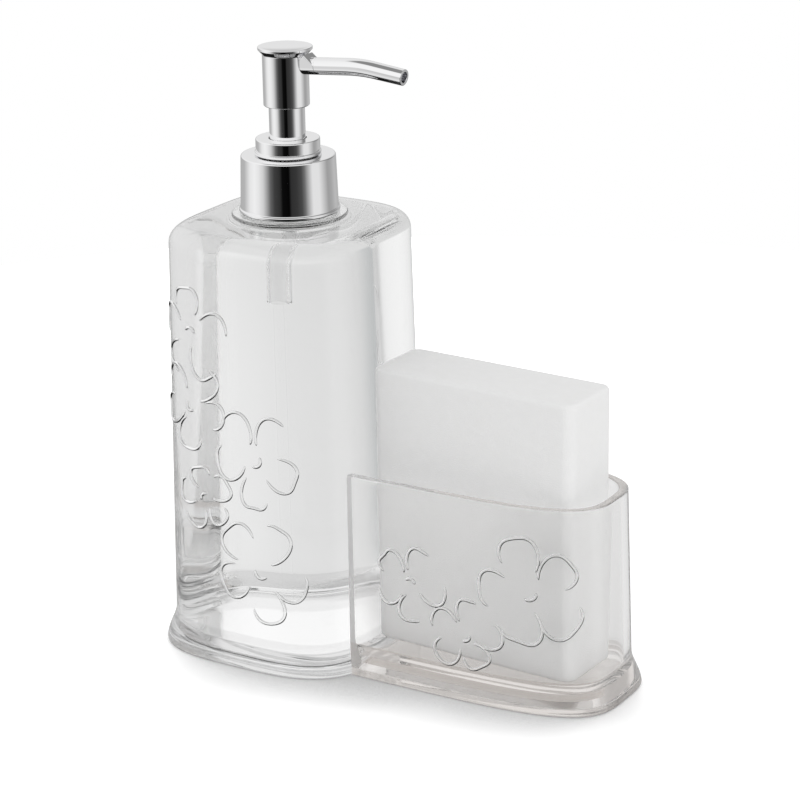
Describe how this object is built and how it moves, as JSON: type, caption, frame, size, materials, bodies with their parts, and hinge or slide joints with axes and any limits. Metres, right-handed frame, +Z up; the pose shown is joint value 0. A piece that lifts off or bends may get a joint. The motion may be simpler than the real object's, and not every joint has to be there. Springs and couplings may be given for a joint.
{
  "type": "dish soap dispenser",
  "caption": "Clear rounded-square pump bottle with a chrome pump and bent spout, joined to a clear open well that holds an upright white sponge.",
  "frame": {"origin": "on the table, at the middle of the whole object's box", "axes": "+Z up, +X from the bottle towards the sponge well and along the spout, +Y to the back"},
  "size_m": [0.1754, 0.0868, 0.2148],
  "materials": {
    "clear_plastic": "clear polished plastic",
    "sponge_foam": "fine white melamine-like foam",
    "chrome_plating": "bright chrome plate",
    "white_plastic": "satin white moulding",
    "grey_rubber": "soft washer",
    "spring_steel": "bright drawn wire",
    "seal_plastic": "soft moulded plastic",
    "tube_plastic": "clear extruded tube"
  },
  "bodies": {
    "base": {"bottle_shell": "clear_plastic", "bottle_base_plate": "clear_plastic", "neck_insert": "clear_plastic", "sponge_holder": "clear_plastic", "holder_base_plate": "clear_plastic"},
    "pump": {"pump_cylinder": "white_plastic", "neck_gasket": "grey_rubber", "dip_tube": "tube_plastic", "stem_guide": "white_plastic", "pump_hub": "chrome_plating"},
    "collar": {"screw_collar": "chrome_plating", "collar_liner": "white_plastic"},
    "spring": {"return_spring": "spring_steel"},
    "head": {"head_shell": "chrome_plating", "head_core": "white_plastic", "nozzle_tube": "chrome_plating", "stem_sleeve": "chrome_plating", "pump_stem": "white_plastic", "piston_rod": "white_plastic"},
    "piston": {"piston_seal": "seal_plastic"},
    "ball": {"inlet_ball": "spring_steel"},
    "sponge": {"sponge": "sponge_foam"}
  },
  "joints": [
    {"name": "pump_lift", "type": "slide", "parent": "base", "child": "pump", "axis": [0, 0, 1], "range_m": [0, 0.165]},
    {"name": "collar_turn", "type": "hinge", "parent": "pump", "child": "collar", "pos_m": [-0.04495, 0, 0.17], "axis": [0, 0, 1], "continuous": true},
    {"name": "head_swivel", "type": "hinge", "parent": "pump", "child": "spring", "pos_m": [-0.04495, 0, 0.19], "axis": [0, 0, 1], "continuous": true},
    {"name": "head_press", "type": "slide", "parent": "spring", "child": "head", "axis": [0, 0, -1], "range_m": [0, 0.0105], "stiffness_N_per_m": 1330, "springref_m": -0.006, "deforming": ["return_spring"]},
    {"name": "piston_slip", "type": "slide", "parent": "head", "child": "piston", "axis": [0, 0, 1], "range_m": [0, 0.001]},
    {"name": "ball_lift", "type": "slide", "parent": "pump", "child": "ball", "axis": [0, 0, 1], "range_m": [0, 0.0015]},
    {"name": "sponge_lift", "type": "slide", "parent": "base", "child": "sponge", "axis": [0, 0, 1], "range_m": [0, 0.07]}
  ]
}
